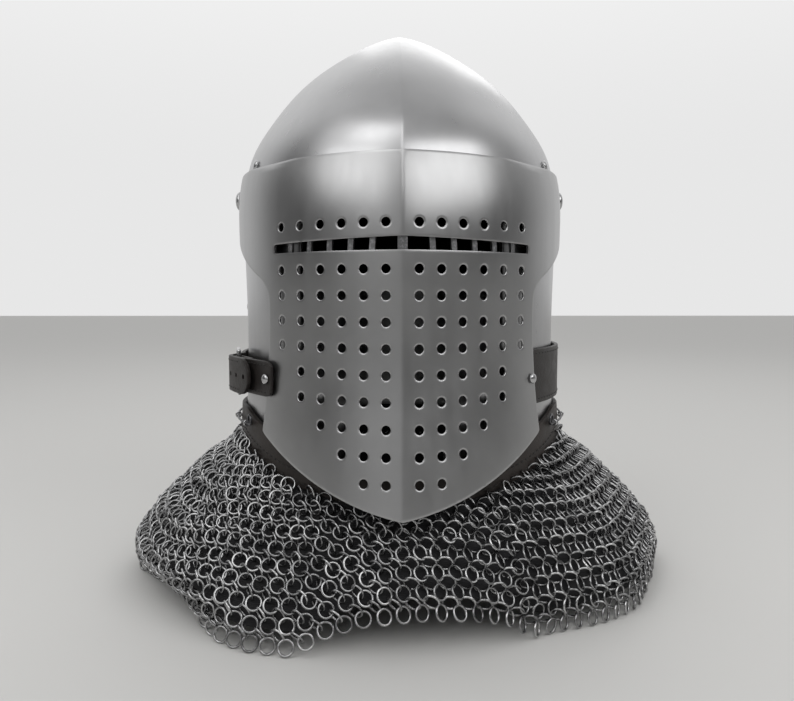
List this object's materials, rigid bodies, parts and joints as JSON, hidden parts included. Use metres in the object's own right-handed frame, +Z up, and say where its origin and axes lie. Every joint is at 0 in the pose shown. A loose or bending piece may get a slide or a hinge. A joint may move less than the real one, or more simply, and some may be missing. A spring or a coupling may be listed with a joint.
{
  "type": "visored helm",
  "caption": "Pointed steel helm with a keeled pivoting visor, leather straps and a mail aventail on a leather band, standing on the hem of its mail.",
  "frame": {"origin": "on the ground under the middle of the mail hem", "axes": "+Z up to the point of the skull, -Y to the front, +X to the right of the viewer who faces the visor"},
  "size_m": [0.3582, 0.3027, 0.361],
  "materials": {
    "polished_steel": "satin polished",
    "dark_steel": "blackened",
    "mail_steel": "dark with bright wear",
    "leather": "dark oiled",
    "liner_cloth": "matte quilted"
  },
  "bodies": {
    "helm": {"skull": "polished_steel", "visor_pivot_right": "polished_steel", "visor_pivot_left": "polished_steel", "pivot_washers": "polished_steel", "liner_rivets": "polished_steel", "liner_band": "leather", "liner": "liner_cloth", "chin_rivets": "polished_steel", "chin_strap_right": "leather", "chin_strap_left": "leather", "closing_strap": "leather", "nape_keeper": "leather", "keeper_rivet": "polished_steel", "vervelles": "polished_steel", "lacing_wire": "dark_steel", "aventail_band": "leather", "aventail_mail": "mail_steel"},
    "visor": {"visor": "polished_steel", "sight_bars": "dark_steel", "strap_rivet_right": "polished_steel", "buckle_chape": "leather", "chape_rivet": "polished_steel"},
    "buckle_frame": {"buckle_frame": "dark_steel"},
    "buckle_tongue": {"buckle_tongue": "dark_steel"},
    "chin_buckle_frame": {"chin_buckle_frame": "dark_steel"},
    "chin_buckle_tongue": {"chin_buckle_tongue": "dark_steel"}
  },
  "joints": [
    {"name": "visor_hinge", "type": "hinge", "parent": "helm", "child": "visor", "pos_m": [0, 0, 0.248], "axis": [-1, 0, 0], "range_deg": [0, 90], "deforming": ["closing_strap"]},
    {"name": "buckle_frame_hinge", "type": "hinge", "parent": "visor", "child": "buckle_frame", "pos_m": [-0.10245, -0.04698, 0.135], "axis": [0, 0, 1], "range_deg": [0, 40]},
    {"name": "buckle_tongue_hinge", "type": "hinge", "parent": "buckle_frame", "child": "buckle_tongue", "pos_m": [-0.10245, -0.04698, 0.135], "axis": [0, 0, 1], "range_deg": [0, 70]},
    {"name": "chin_buckle_hinge", "type": "hinge", "parent": "helm", "child": "chin_buckle_frame", "pos_m": [-0.09742, 0.004, 0.124], "axis": [0, -1, 0], "range_deg": [0, 60]},
    {"name": "chin_tongue_hinge", "type": "hinge", "parent": "chin_buckle_frame", "child": "chin_buckle_tongue", "pos_m": [-0.09742, 0.004, 0.124], "axis": [0, -1, 0], "range_deg": [0, 60]}
  ]
}
